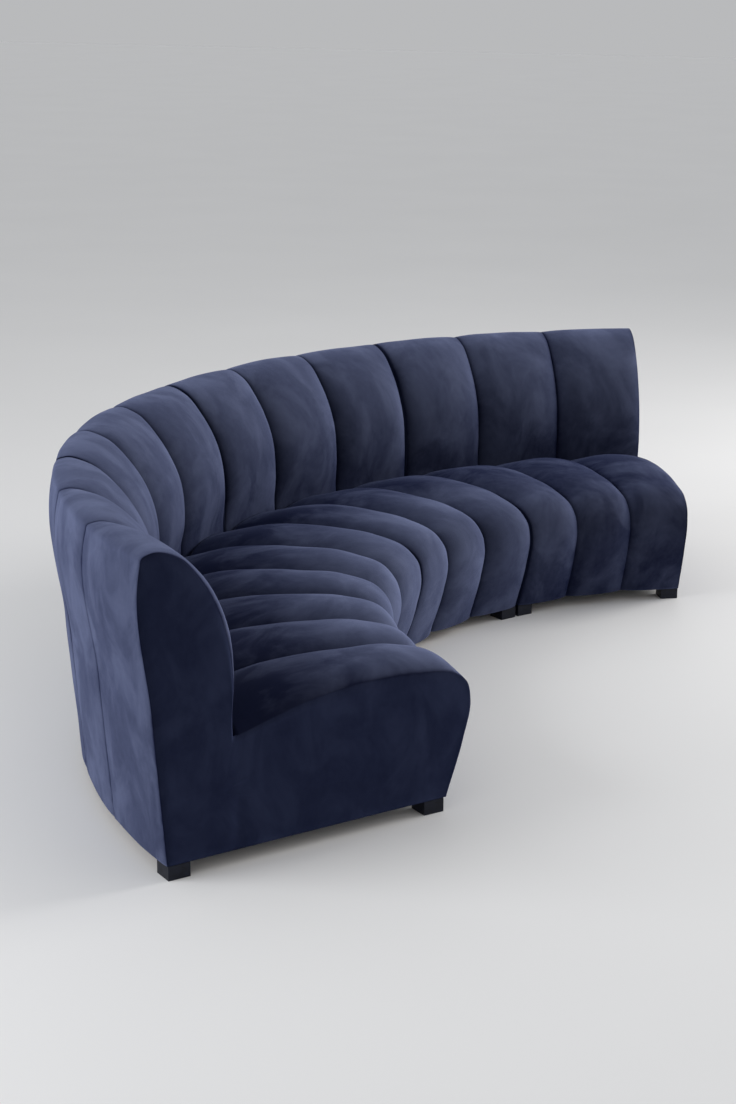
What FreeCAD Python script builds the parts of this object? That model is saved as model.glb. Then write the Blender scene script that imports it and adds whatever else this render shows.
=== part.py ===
"""Curved sectional sofa: four channelled sections of three channels each, on timber frames.

The arc's centre is found first, and every piece is placed from it. Radii run outwards from that
centre, heights run up from the floor, and section 1 is the one furthest along +X.
"""
import FreeCAD, Part
import math
import os
import Sketcher

Vector = FreeCAD.Vector
Rotation = FreeCAD.Rotation
Placement = FreeCAD.Placement
UP = Vector(0, 0, 1)
os.makedirs("parts", exist_ok=True)
doc = FreeCAD.newDocument("curved_sofa")

# Driving sizes, in millimetres, degrees and counts
SIZES = [
    ("sections", 4),
    ("channels_per_section", 3),
    ("channel_angle", 9.709),
    ("section_gap_angle", 0.06),
    ("nose_radius", 1246),
    ("seat_depth", 744),
    ("seat_crown_height", 467),
    ("seat_nose_drop", 154),
    ("seat_front_rake", 73),
    ("seat_crease_drop", 70),
    ("seat_seam_depth", 47),
    ("seat_pad_thickness", 147),
    ("seat_rear_pad_thickness", 102),
    ("seat_front_pad_thickness", 54),
    ("seat_hem_thickness", 36),
    ("back_height", 874),
    ("back_seat_gap", 4),
    ("back_tuck_depth", 97),
    ("back_straight_height", 106),
    ("back_swell", 23),
    ("back_top_depth", 235),
    ("back_rear_depth", 263),
    ("back_rear_rake", 60),
    ("back_rear_drop", 33),
    ("back_seam_depth", 58),
    ("back_pad_thickness", 81),
    ("back_top_pad_thickness", 74),
    ("back_rear_pad_thickness", 22),
    ("back_hem_thickness", 25),
    ("core_bend_run", 10),
    ("core_bend_rise", 17),
    ("core_slope_run", 80),
    ("end_panel_thickness", 5),
    ("cover_clearance", 0.3),
    ("seat_build_height", 217),
    ("plywood_thickness", 18),
    ("rail_thickness", 22),
    ("rear_rail_height", 100),
    ("seat_rail_height", 90),
    ("frame_inset_angle", 0.63),
    ("strap_thickness", 2),
    ("strap_width", 50),
    ("under_cover_thickness", 1.5),
    ("under_cover_edge_margin", 3),
    ("under_cover_inset_angle", 0.83),
    ("foot_height", 40),
    ("foot_side", 64),
    ("foot_end_inset", 6),
    ("foot_screw_radius", 4),
    ("foot_screw_head_radius", 7),
    ("foot_screw_head_height", 5),
    ("foot_screw_recess", 3),
    ("foot_screw_bite", 28),
    ("screw_clearance", 0.3),
    ("screw_end_clearance", 1),
    ("connector_front_inset", 154),
    ("connector_rear_inset", 111),
    ("connector_width", 40),
    ("connector_edge_margin", 13),
    ("connector_plate_thickness", 3),
    ("connector_step", 7),
    ("connector_pin_radius", 5),
    ("connector_pin_length", 17),
    ("connector_pin_reach", 34),
    ("connector_pin_clearance", 0.6),
    ("connector_screw_radius", 2),
    ("connector_screw_head_radius", 4),
    ("connector_screw_head_height", 1.8),
    ("connector_screw_spacing", 24),
    ("connector_screw_bite", 20),
]
sheet = doc.addObject("Spreadsheet::Sheet", "Sizes")
for row, (alias, number) in enumerate(SIZES, start=1):
    sheet.set(f"A{row}", alias.replace("_", " "))
    sheet.set(f"B{row}", str(number))
    sheet.setAlias(f"B{row}", alias)
doc.recompute()
size = {alias: float(sheet.get(alias)) for alias, _ in SIZES}

# Places worked out from the driving sizes, kept as bound numbers that the sub-parts share
PLACES = [
    ("half_angle", "Sizes.channels_per_section * Sizes.channel_angle / 2"),
    ("end_angle", "Layout.half_angle - Sizes.section_gap_angle"),
    ("base_height", "Sizes.foot_height + Sizes.under_cover_thickness"),
    ("seat_rear", "Sizes.nose_radius + Sizes.seat_depth"),
    ("seat_front_foot", "Sizes.nose_radius + Sizes.seat_front_rake"),
    ("crease_height", "Sizes.seat_crown_height - Sizes.seat_crease_drop"),
    ("seat_rear_underside", "Layout.crease_height - Sizes.seat_rear_pad_thickness"),
    ("seat_front_underside", "Sizes.seat_crown_height - Sizes.seat_pad_thickness"),
    ("seat_front_inside", "Sizes.nose_radius + Sizes.seat_front_pad_thickness"),
    ("seat_hem_inside", "Layout.seat_front_foot + Sizes.seat_hem_thickness"),
    ("back_face", "Layout.seat_rear + Sizes.back_seat_gap"),
    ("back_tuck_height", "Layout.crease_height - Sizes.back_tuck_depth"),
    ("back_straight_top", "Layout.crease_height + Sizes.back_straight_height"),
    ("back_rear_top", "Layout.back_face + Sizes.back_rear_depth"),
    ("back_rear_foot", "Layout.back_rear_top - Sizes.back_rear_rake"),
    ("core_front", "Layout.back_face + Sizes.back_pad_thickness"),
    ("core_bend", "Layout.core_front + Sizes.core_bend_run"),
    ("core_bend_height", "Layout.back_straight_top + Sizes.core_bend_rise"),
    ("core_top_front", "Layout.core_bend + Sizes.core_slope_run"),
    ("core_top_height", "Sizes.back_height - Sizes.back_top_pad_thickness"),
    ("core_top_rear", "Layout.back_rear_top - Sizes.back_rear_pad_thickness"),
    ("core_rear_foot", "Layout.back_rear_foot - Sizes.back_hem_thickness"),
    ("rail_top", "Sizes.seat_crown_height - Sizes.seat_build_height"),
    ("strap_top", "Layout.rail_top + 2 * Sizes.strap_thickness"),
    ("seat_rail_outside", "Layout.core_front - Sizes.back_hem_thickness / 2"),
    ("seat_rail_inside", "Layout.seat_rail_outside - Sizes.rail_thickness"),
    ("seat_rail_bottom", "Layout.rail_top - Sizes.seat_rail_height"),
    ("top_rail_bottom", "Layout.core_top_height - Sizes.cover_clearance - Sizes.rail_thickness"),
    ("rear_rail_top", "Layout.base_height + Sizes.rear_rail_height"),
    ("front_foot_radius", "Layout.seat_hem_inside + Sizes.cover_clearance + Sizes.rail_thickness / 2"),
    ("rear_foot_radius", "Layout.core_rear_foot - Sizes.cover_clearance - Sizes.rail_thickness / 2"),
    ("front_connector_radius", "Layout.front_foot_radius + Sizes.connector_front_inset"),
    ("rear_connector_radius", "Layout.rear_foot_radius - Sizes.connector_rear_inset"),
    ("frame_angle", "Layout.end_angle - Sizes.frame_inset_angle"),
]
layout = doc.addObject("App::VarSet", "Layout")
for name, formula in PLACES:
    layout.addProperty("App::PropertyFloat", name, "Places")
    layout.setExpression(name, formula)
doc.recompute()


def place(name):
    """The number that a bound place has now."""
    return getattr(layout, name)


SECTIONS = range(1, int(size["sections"]) + 1)
CHANNELS = int(size["channels_per_section"])


# Slanted lines of the frame, as the radius at a height

def slant(low, low_height, high, high_height, height):
    """The formula for the radius at a height on the line between two points."""
    return (f"({low} + ({high} - ({low})) * ({height} - ({low_height}))"
            f" / (({high_height}) - ({low_height})))")


def front_line(height):
    """Inside of the seat's front cover, where the front rail stands."""
    return slant("Layout.seat_hem_inside", "Layout.base_height",
                 "Layout.seat_front_inside", "Layout.seat_front_underside", height)


def rear_line(height):
    """Inside of the back's rear cover, where the rear rail and the frames stand."""
    return slant("Layout.core_rear_foot", "Layout.base_height",
                 "Layout.core_top_rear", "Layout.core_top_height", height)


def core_line(height):
    """Inside of the back's padding, below its bend."""
    return slant("Layout.core_front", "Layout.back_tuck_height",
                 "Layout.core_bend", "Layout.core_bend_height", height)


def slope_line(height):
    """Inside of the back's padding, above its bend."""
    return slant("Layout.core_bend", "Layout.core_bend_height",
                 "Layout.core_top_front", "Layout.core_top_height", height)


def seat_underside(radius):
    """The height of the seat pad's underside at a radius."""
    return slant("Layout.seat_front_underside", "Layout.seat_front_inside",
                 "Layout.seat_rear_underside", "Layout.seat_rear", radius)


# The padded channels, lofted through upright sections of the arc

def edge_through(start, middle, end):
    """An arc through three points, or a line where they lie in a row."""
    bow = (middle - start).cross(end - start).Length / (end - start).Length
    if bow < 0.01:
        return Part.LineSegment(start, end).toShape()
    return Part.Arc(start, middle, end).toShape()


def in_plane(radius, height, angle, offset):
    """The point at a radius and height in the upright plane at an angle, moved square to it."""
    turn = math.radians(angle)
    return Vector(radius * math.sin(turn) + offset * math.cos(turn),
                  radius * math.cos(turn) - offset * math.sin(turn), height)


# A crown line runs along the middle of a channel, up the front, over the top and down to its end.
# A point has its radius, its height, and the shares of the seam depth by which the seams between
# channels and the seam of the end panel lie inside it
SEAT_CROWN = [
    (place("seat_front_foot"), place("base_height"), 0.57, 0.17),
    (size["nose_radius"] + 0.267 * size["seat_front_rake"],
     0.435 * size["seat_crown_height"], 0.68, 0.14),
    (size["nose_radius"], size["seat_crown_height"] - size["seat_nose_drop"], 0.77, 0.06),
    (size["nose_radius"] + 0.017 * size["seat_depth"],
     size["seat_crown_height"] - 0.643 * size["seat_nose_drop"], 0.85, 0.12),
    (size["nose_radius"] + 0.065 * size["seat_depth"],
     size["seat_crown_height"] - 0.331 * size["seat_nose_drop"], 0.94, 0.45),
    (size["nose_radius"] + 0.227 * size["seat_depth"],
     size["seat_crown_height"] - 0.052 * size["seat_nose_drop"], 1.00, 0.88),
    (size["nose_radius"] + 0.405 * size["seat_depth"], size["seat_crown_height"], 0.94, 0.86),
    (size["nose_radius"] + 0.742 * size["seat_depth"],
     size["seat_crown_height"] - 0.214 * size["seat_crease_drop"], 0.72, 1.00),
    (place("seat_rear"), place("crease_height"), 0.55, 0.87),
]
SEAT_INSIDE = [
    (place("seat_rear"), place("seat_rear_underside")),
    (place("seat_front_inside"), place("seat_front_underside")),
    (place("seat_hem_inside"), place("base_height")),
]
arch_rise = size["back_height"] - place("back_straight_top")
roll_run = size["back_rear_depth"] - size["back_top_depth"]
BACK_CROWN = [
    (place("back_face") + 0.150 * size["back_swell"], place("back_tuck_height"), 0.41, 0.00),
    (place("back_face"), (place("back_tuck_height") + place("back_straight_top")) / 2, 0.72, 0.15),
    (place("back_face") - size["back_swell"], place("back_straight_top"), 0.95, 0.50),
    (place("back_face") - 0.600 * size["back_swell"],
     place("back_straight_top") + 0.396 * arch_rise, 1.00, 0.70),
    (place("back_face") + 0.260 * size["back_top_depth"],
     place("back_straight_top") + 0.779 * arch_rise, 0.86, 0.55),
    (place("back_face") + 0.660 * size["back_top_depth"],
     place("back_straight_top") + 0.9865 * arch_rise, 0.47, 0.26),
    (place("back_face") + size["back_top_depth"], size["back_height"], 0.14, 0.02),
    (place("back_rear_top") - 0.150 * roll_run,
     size["back_height"] - 0.333 * size["back_rear_drop"], 0.09, 0.02),
    (place("back_rear_top"), size["back_height"] - size["back_rear_drop"], 0.07, 0.03),
    (place("back_rear_top") - 0.430 * size["back_rear_rake"],
     (size["back_height"] - size["back_rear_drop"] + place("base_height")) / 2, 0.07, 0.03),
    (place("back_rear_foot"), place("base_height"), 0.05, 0.03),
]
BACK_INSIDE = [
    (place("core_rear_foot"), place("base_height")),
    (place("core_top_rear"), place("core_top_height")),
    (place("core_top_front"), place("core_top_height")),
    (place("core_bend"), place("core_bend_height")),
    (place("core_front"), place("back_tuck_height")),
]
# Where a channel is cut across for its loft, as shares of its width
STATIONS = [0.0, 0.08, 0.25, 0.5, 0.75, 0.92, 1.0]


def flatness(share, roundness):
    """How far a channel's surface lies inside its crown line at a share of its width, from 1 at
    the seams to 0 along the middle."""
    return 1 - (1 - abs(2 * share - 1) ** 2.3) ** roundness


def sunk(crown, depths, ends):
    """The crown line with each point moved inwards by its depth, square to the line. The first and
    last points move in the two given directions instead, along the hem or the crease."""
    moved = []
    last = len(crown) - 1
    for i, (radius, height, *_) in enumerate(crown):
        before = crown[max(i - 1, 0)]
        after = crown[min(i + 1, last)]
        along = math.hypot(after[0] - before[0], after[1] - before[1])
        inwards = (after[1] - before[1]) / along
        upwards = -(after[0] - before[0]) / along
        if i == 0:
            inwards, upwards = ends[0]
        if i == last:
            inwards, upwards = ends[1]
        moved.append((radius + depths[i] * inwards, height + depths[i] * upwards))
    return moved


# The directions in which each line's ends sink: the hems move level, the crease moves down
SEAT_ENDS = ((1, 0), (0, -1))
BACK_ENDS = ((1, 0), (-1, 0))


def outline_edges(points):
    """Arcs through each run of three points."""
    return [edge_through(*points[i:i + 3]) for i in range(0, len(points) - 2, 2)]


def channel_wire(line, inside, angle, offset):
    """One closed section of a channel."""
    outer = [in_plane(r, z, angle, offset) for r, z in line]
    inner = [in_plane(r, z, angle, offset) for r, z in inside]
    corners = [outer[-1]] + inner + [outer[0]]
    lines = [Part.LineSegment(a, b).toShape() for a, b in zip(corners, corners[1:])]
    return Part.Wire(outline_edges(outer) + lines)


def channel(crown, ends, inside, depth, roundness, number):
    """One padded channel of a section, between two seams or a seam and an end panel."""
    start = -place("half_angle") + number * size["channel_angle"]
    wires = []
    for share in STATIONS:
        angle = start + share * size["channel_angle"]
        offset = 0.0
        if share == 0 and number == 0:
            angle = -place("end_angle")
            offset = size["end_panel_thickness"]
        if share == 1 and number == CHANNELS - 1:
            angle = place("end_angle")
            offset = -size["end_panel_thickness"]
        # Each half of a channel sinks to the seam on its own side
        at_end = (share < 0.5 and number == 0) or (share > 0.5 and number == CHANNELS - 1)
        column = 3 if at_end else 2
        sink = depth * flatness(share, roundness)
        line = sunk(crown, [sink * point[column] for point in crown], ends)
        wires.append(channel_wire(line, inside, angle, offset))
    return Part.makeLoft(wires, True, False, False, 5)


SEAT_END = sunk(SEAT_CROWN, [size["seat_seam_depth"] * point[3] for point in SEAT_CROWN], SEAT_ENDS)
BACK_END = sunk(BACK_CROWN, [size["back_seam_depth"] * point[3] for point in BACK_CROWN], BACK_ENDS)


def end_panel(edges_of, side):
    """A flat panel that closes one end of a section; side is 1 or -1."""
    angle = side * place("end_angle")
    face = Part.Face(Part.Wire(edges_of(angle)))
    turn = math.radians(angle)
    inwards = Vector(-side * math.cos(turn), side * math.sin(turn), 0)
    return face.extrude(inwards * size["end_panel_thickness"])


def seat_panel_edges(angle):
    """The seat's seam line, closed along the hem and up the join below the crease."""
    outer = [in_plane(r, z, angle, 0) for r, z in SEAT_END]
    join = in_plane(place("seat_rear"), place("base_height"), angle, 0)
    return outline_edges(outer) + [Part.LineSegment(outer[-1], join).toShape(),
                                   Part.LineSegment(join, outer[0]).toShape()]


def back_panel_edges(angle):
    """The back's seam line, closed along the hem and up the join below the crease."""
    outer = [in_plane(r, z, angle, 0) for r, z in BACK_END]
    corners = [outer[-1], in_plane(place("seat_rear"), place("base_height"), angle, 0),
               in_plane(place("seat_rear"), place("back_tuck_height"), angle, 0), outer[0]]
    return outline_edges(outer) + [Part.LineSegment(a, b).toShape()
                                   for a, b in zip(corners, corners[1:])]


SEAT_ROUNDNESS = 0.86
BACK_ROUNDNESS = 0.60
seat_channel_shape = Part.makeCompound(
    [channel(SEAT_CROWN, SEAT_ENDS, SEAT_INSIDE, size["seat_seam_depth"], SEAT_ROUNDNESS, i)
     for i in range(CHANNELS)])
back_channel_shape = Part.makeCompound(
    [channel(BACK_CROWN, BACK_ENDS, BACK_INSIDE, size["back_seam_depth"], BACK_ROUNDNESS, i)
     for i in range(CHANNELS)])
end_panel_shape = Part.makeCompound(
    [end_panel(edges, side) for side in (-1, 1) for edges in (seat_panel_edges, back_panel_edges)])


# Placing a section: it turns about the arc's centre, and the centre is set back so that the whole
# sofa stands centred over the origin

def section_angle(section):
    """The angle of a section's middle from the sofa's middle plane, towards +X."""
    return (size["sections"] + 1 - 2 * section) * place("half_angle")


def turned(angle, along_y=0.0):
    """A placement that turns by an angle towards +X about the arc's centre."""
    return Placement(Vector(0, along_y, 0), Rotation(UP, -angle))


def depth_range():
    """The lowest and highest Y of the padded pieces, measured from the arc's centre."""
    lows = []
    highs = []
    for section in SECTIONS:
        for shape in (seat_channel_shape, back_channel_shape, end_panel_shape):
            moved = shape.copy()
            moved.Placement = turned(section_angle(section))
            box = moved.optimalBoundingBox(False, False)
            lows.append(box.YMin)
            highs.append(box.YMax)
    return min(lows), max(highs)


front_edge, rear_edge = depth_range()
centre_shift = -(front_edge + rear_edge) / 2
subparts = {}


def section_place(section, angle=0.0):
    """The placement of a piece at an angle from its section's middle."""
    return turned(section_angle(section) + angle, centre_shift)


def keep(obj, section, name):
    """Names a finished sub-part for its file."""
    obj.Label = f"section_{section}_{name}"
    subparts[obj.Label] = obj


def add_shape(section, name, shape):
    """A padded sub-part whose shape was lofted above."""
    piece = doc.addObject("Part::Feature", f"Padded_{section}_{name}")
    piece.Shape = shape
    piece.Placement = section_place(section)
    keep(piece, section, name)


# Timber and cloth pieces as bodies with bound sketches

def new_body(title):
    """An empty body that may hold several solids."""
    body = doc.addObject("PartDesign::Body", title)
    body.AllowCompound = True
    return body


def new_sketch(body, plane):
    """A sketch on one of the body's own origin planes."""
    sketch = body.newObject("Sketcher::SketchObject", body.Name + "_sketch")
    origin = {feature.Role: feature for feature in body.Origin.OriginFeatures}
    sketch.AttachmentSupport = [(origin[plane], "")]
    sketch.MapMode = "FlatFace"
    return sketch


def bind(sketch, kind, geometry, point, formula):
    """Holds one coordinate of a point at a formula."""
    index = sketch.addConstraint(Sketcher.Constraint(kind, -1, 1, geometry, point, 1.0))
    sketch.setExpression(f"Constraints[{index}]", formula)


def add_polygon(sketch, corners):
    """A closed polygon whose corners are pairs of formulas."""
    first = sketch.GeometryCount
    count = len(corners)
    # Rough starting places on a circle; the bound coordinates then set the real ones
    middle = size["nose_radius"]
    spread = size["seat_depth"] / 2
    rough = [Vector(middle + spread * math.cos(-2 * math.pi * i / count),
                    middle + spread * math.sin(-2 * math.pi * i / count), 0) for i in range(count)]
    for i in range(count):
        sketch.addGeometry(Part.LineSegment(rough[i], rough[(i + 1) % count]), False)
    for i in range(count):
        sketch.addConstraint(Sketcher.Constraint(
            "Coincident", first + i, 2, first + (i + 1) % count, 1))
    for i, (across, up) in enumerate(corners):
        bind(sketch, "DistanceX", first + i, 1, across)
        bind(sketch, "DistanceY", first + i, 1, up)


def add_circle(sketch, across, up, radius):
    """A circle whose centre and radius are formulas."""
    start = Vector(size["foot_side"], size["nose_radius"], 0)
    index = sketch.addGeometry(Part.Circle(start, UP, size["connector_pin_radius"]), False)
    bind(sketch, "DistanceX", index, 3, across)
    bind(sketch, "DistanceY", index, 3, up)
    limit = sketch.addConstraint(
        Sketcher.Constraint("Radius", index, size["connector_pin_radius"]))
    sketch.setExpression(f"Constraints[{limit}]", radius)


def swept(title, polygons, end_clearance):
    """A body swept along the arc from polygons of radius and height, short of both end panels."""
    body = new_body(title)
    sketch = new_sketch(body, "YZ_Plane")
    for corners in polygons:
        add_polygon(sketch, corners)
    sweep = body.newObject("PartDesign::Revolution", title + "_sweep")
    sweep.Profile = sketch
    sweep.ReferenceAxis = (sketch, ["V_Axis"])
    sweep.Midplane = True
    sweep.setExpression("Angle", f"2 * (Layout.end_angle - {end_clearance})")
    return body


def behind_panel(radius):
    """The angle at a radius that the end panel and its clearance take up."""
    return f"asin((Sizes.end_panel_thickness + Sizes.cover_clearance) / ({radius})) / 1 deg"


def drilled(body, title, holes, depth):
    """Blind holes bored up into a body from below."""
    sketch = new_sketch(body, "XY_Plane")
    sketch.Label = title + "_plan"
    for across, up, radius in holes:
        add_circle(sketch, across, up, radius)
    pocket = body.newObject("PartDesign::Pocket", title)
    pocket.Profile = sketch
    pocket.Reversed = True
    pocket.setExpression("Length", depth)
    return body


GAP = "Sizes.cover_clearance"
RAIL = "Sizes.rail_thickness"
BASE = "Layout.base_height"
FOOT_TURN = "(Layout.end_angle - asin((Sizes.foot_end_inset + Sizes.foot_side / 2) / %s) / 1 deg)"


def foot_holes(radius):
    """The two screw holes over a section's feet at one radius."""
    turn = FOOT_TURN % radius
    bore = "Sizes.foot_screw_radius + Sizes.screw_clearance"
    return [(f"{side} * {radius} * sin({turn})", f"{radius} * cos({turn})", bore)
            for side in ("-1", "1")]


def front_rail(section):
    """The curved board behind the front of the seat cover."""
    outside = [f"{front_line(height)} + {GAP}" for height in (BASE, "Layout.rail_top")]
    corners = [(outside[0], BASE), (f"{outside[0]} + {RAIL}", BASE),
               (f"{outside[1]} + {RAIL}", "Layout.rail_top"), (outside[1], "Layout.rail_top")]
    body = swept(f"FrontRail{section}", [corners], behind_panel(outside[1]))
    drilled(body, f"FrontScrewHoles{section}", foot_holes("Layout.front_foot_radius"),
            f"{BASE} + Sizes.foot_screw_bite")
    return body


def rear_rail(section):
    """The curved board along the foot of the back."""
    top = "Layout.rear_rail_top"
    outside = [f"{rear_line(height)} - {GAP}" for height in (BASE, top)]
    corners = [(f"{outside[0]} - {RAIL}", BASE), (outside[0], BASE), (outside[1], top),
               (f"{outside[1]} - {RAIL}", top)]
    body = swept(f"RearRail{section}", [corners], behind_panel(f"{outside[0]} - {RAIL}"))
    drilled(body, f"RearScrewHoles{section}", foot_holes("Layout.rear_foot_radius"),
            f"{BASE} + Sizes.foot_screw_bite")
    return body


def seat_rail(section):
    """The curved board under the crease that carries the rear ends of the seat's straps."""
    corners = [("Layout.seat_rail_inside", "Layout.seat_rail_bottom"),
               ("Layout.seat_rail_outside", "Layout.seat_rail_bottom"),
               ("Layout.seat_rail_outside", "Layout.rail_top"),
               ("Layout.seat_rail_inside", "Layout.rail_top")]
    return swept(f"SeatRail{section}", [corners], behind_panel("Layout.seat_rail_inside"))


def top_rail(section):
    """The curved board along the top of the back."""
    top = f"Layout.core_top_height - {GAP}"
    low = "Layout.top_rail_bottom"
    corners = [(f"Layout.core_top_front + {GAP}", low), (f"{rear_line(low)} - {GAP}", low),
               (f"{rear_line(top)} - {GAP}", top), (f"Layout.core_top_front + {GAP}", top)]
    return swept(f"TopRail{section}", [corners], behind_panel("Layout.core_top_front"))


def seat_foam(section):
    """The foam block between the seat's straps and its channels."""
    front_low = f"{front_line('Layout.strap_top')} + {GAP}"
    front_high = f"Layout.seat_front_inside + {GAP}"
    rear = f"Layout.seat_rear - {GAP}"
    corners = [(front_low, "Layout.strap_top"), (rear, "Layout.strap_top"),
               (rear, f"{seat_underside(rear)} - {GAP}"),
               (front_high, f"{seat_underside(front_high)} - {GAP}")]
    return swept(f"SeatFoam{section}", [corners], behind_panel(front_high))


def under_cover(section):
    """The dust cloth stapled under the frame, short of the foot screws."""
    margin = "(Sizes.foot_screw_radius + Sizes.under_cover_edge_margin)"
    front = f"Layout.front_foot_radius + {margin}"
    rear = f"Layout.rear_foot_radius - {margin}"
    corners = [(front, "Sizes.foot_height"), (rear, "Sizes.foot_height"), (rear, BASE), (front, BASE)]
    return swept(f"UnderCover{section}", [corners], "Sizes.under_cover_inset_angle")


# Places of the straps along the arc, as shares of the way up each part of the back and of the way
# from the front of the seat to its rear
BACK_STRAP_SHARES = (0.15, 0.60)
SEAT_STRAP_SHARES = (0.15, 0.45, 0.75)


def back_webbing(section):
    """Four straps along the arc, two behind the straight part of the back and two on its slope."""
    thick = "Sizes.strap_thickness"
    stretches = [(core_line, "Layout.back_tuck_height", "Layout.core_bend_height"),
                 (slope_line, "Layout.core_bend_height", "Layout.top_rail_bottom")]
    polygons = []
    for line, low, high in stretches:
        for share in BACK_STRAP_SHARES:
            bottom = f"({low} + {share} * ({high} - {low}))"
            top = f"({bottom} + Sizes.strap_width)"
            polygons.append([(f"{line(bottom)} + {GAP}", bottom),
                             (f"{line(bottom)} + {GAP} + {thick}", bottom),
                             (f"{line(top)} + {GAP} + {thick}", top),
                             (f"{line(top)} + {GAP}", top)])
    return swept(f"BackWebbing{section}", polygons, behind_panel("Layout.core_front"))


def frame_corners():
    """The outline of one plywood frame: seat rib and back post in one, notched for the rails."""
    top = "Layout.rail_top"
    front = f"({GAP} + {RAIL} + {GAP})"
    post = f"(2 * {GAP} + Sizes.strap_thickness)"
    shoulder = f"Layout.back_tuck_height - {GAP}"
    notch_floor = f"Layout.seat_rail_bottom - {GAP}"
    rail_seat = f"Layout.top_rail_bottom - {GAP}"
    rear_notch = f"Layout.rear_rail_top + {GAP}"
    return [
        (f"{front_line(BASE)} + {front}", BASE),
        (f"{front_line(top)} + {front}", top),
        (f"Layout.seat_rail_inside - {GAP}", top),
        (f"Layout.seat_rail_inside - {GAP}", notch_floor),
        (f"Layout.seat_rail_outside + {GAP}", notch_floor),
        (f"Layout.seat_rail_outside + {GAP}", shoulder),
        (f"{core_line(shoulder)} + {post}", shoulder),
        (f"Layout.core_bend + {post}", "Layout.core_bend_height"),
        (f"{slope_line(rail_seat)} + {post}", rail_seat),
        (f"{rear_line(rail_seat)} - {GAP}", rail_seat),
        (f"{rear_line(rear_notch)} - {GAP}", rear_notch),
        (f"{rear_line(rear_notch)} - {front}", rear_notch),
        (f"{rear_line(BASE)} - {front}", BASE),
    ]


CONNECTOR_ROWS = ("front_connector_radius", "rear_connector_radius")


def frame(section, number):
    """One upright plywood frame of a section, drilled from below for the connectors' screws."""
    body = new_body(f"Frame{section}x{number}")
    add_polygon(new_sketch(body, "YZ_Plane"), frame_corners())
    pad = body.newObject("PartDesign::Pad", f"FramePad{section}x{number}")
    pad.Profile = body.Group[0]
    pad.Midplane = True
    pad.setExpression("Length", "Sizes.plywood_thickness")
    bore = "Sizes.connector_screw_radius + Sizes.screw_clearance"
    holes = [("0", f"Layout.{row} + {side} * Sizes.connector_screw_spacing / 2", bore)
             for row in CONNECTOR_ROWS for side in ("-1", "1")]
    drilled(body, f"FrameHoles{section}x{number}", holes,
            f"{BASE} + Sizes.connector_screw_bite")
    share = number / CHANNELS
    body.Placement = section_place(section, (2 * share - 1) * place("frame_angle"))
    return body


# Groups of like pieces

def compound(section, name, members):
    """A group of separate solids under one name."""
    group = doc.addObject("Part::Compound", f"Group_{section}_{name}")
    group.Links = members
    keep(group, section, name)


def primitive(kind, title, bound, where):
    """A primitive with bound sizes at a placement."""
    piece = doc.addObject(kind, title)
    for prop, formula in bound.items():
        piece.setExpression(prop, formula)
    piece.Placement = where
    return piece


def lifted(x, y, z):
    """A placement that only moves."""
    return Placement(Vector(x, y, z), Rotation())


def seat_webbing(section):
    """Straps from rail to rail, two in each bay, under straps that cross them along the arc."""
    members = []
    bay = 2 * place("frame_angle") / CHANNELS
    for number in range(2 * CHANNELS):
        angle = -place("frame_angle") + bay * (number + 0.5) / 2
        where = section_place(section, angle) * lifted(
            -size["strap_width"] / 2, place("seat_hem_inside"), place("rail_top"))
        members.append(primitive("Part::Box", f"Strap{section}x{number}", {
            "Length": "Sizes.strap_width",
            "Width": "Layout.seat_rail_outside - Layout.seat_hem_inside",
            "Height": "Sizes.strap_thickness"}, where))
    low = "Layout.rail_top + Sizes.strap_thickness"
    polygons = []
    for share in SEAT_STRAP_SHARES:
        inside = slant("Layout.seat_hem_inside", "0", "Layout.seat_rail_inside", "1", share)
        outside = f"({inside} + Sizes.strap_width)"
        polygons.append([(inside, low), (outside, low), (outside, "Layout.strap_top"),
                         (inside, "Layout.strap_top")])
    across = swept(f"CrossStraps{section}", polygons, behind_panel("Layout.seat_hem_inside"))
    across.Placement = section_place(section)
    compound(section, "seat_webbing", members + [across])


def foot_places(section):
    """The placement of the floor point under each foot's middle."""
    places = []
    for radius in (place("front_foot_radius"), place("rear_foot_radius")):
        inset = size["foot_end_inset"] + size["foot_side"] / 2
        turn = place("end_angle") - math.degrees(math.asin(inset / radius))
        for side in (-1, 1):
            places.append(section_place(section, side * turn) * lifted(0, radius, 0))
    return places


def feet(section):
    """Four square blocks, each bored and counterbored for its screw."""
    members = []
    half = size["foot_side"] / 2
    for number, where in enumerate(foot_places(section)):
        tag = f"{section}x{number}"
        block = primitive("Part::Box", f"FootBlock{tag}", {
            "Length": "Sizes.foot_side", "Width": "Sizes.foot_side",
            "Height": "Sizes.foot_height"}, where * lifted(-half, -half, 0))
        bore = primitive("Part::Cylinder", f"FootBore{tag}", {
            "Radius": "Sizes.foot_screw_radius + Sizes.screw_clearance",
            "Height": "Sizes.foot_height"}, where)
        recess = primitive("Part::Cylinder", f"FootRecess{tag}", {
            "Radius": "Sizes.foot_screw_head_radius + Sizes.screw_clearance",
            "Height": "Sizes.foot_screw_recess + Sizes.foot_screw_head_height"}, where)
        hollow = doc.addObject("Part::Fuse", f"FootHollow{tag}")
        hollow.Base = bore
        hollow.Tool = recess
        foot = doc.addObject("Part::Cut", f"Foot{tag}")
        foot.Base = block
        foot.Tool = hollow
        members.append(foot)
    compound(section, "feet", members)


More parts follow.
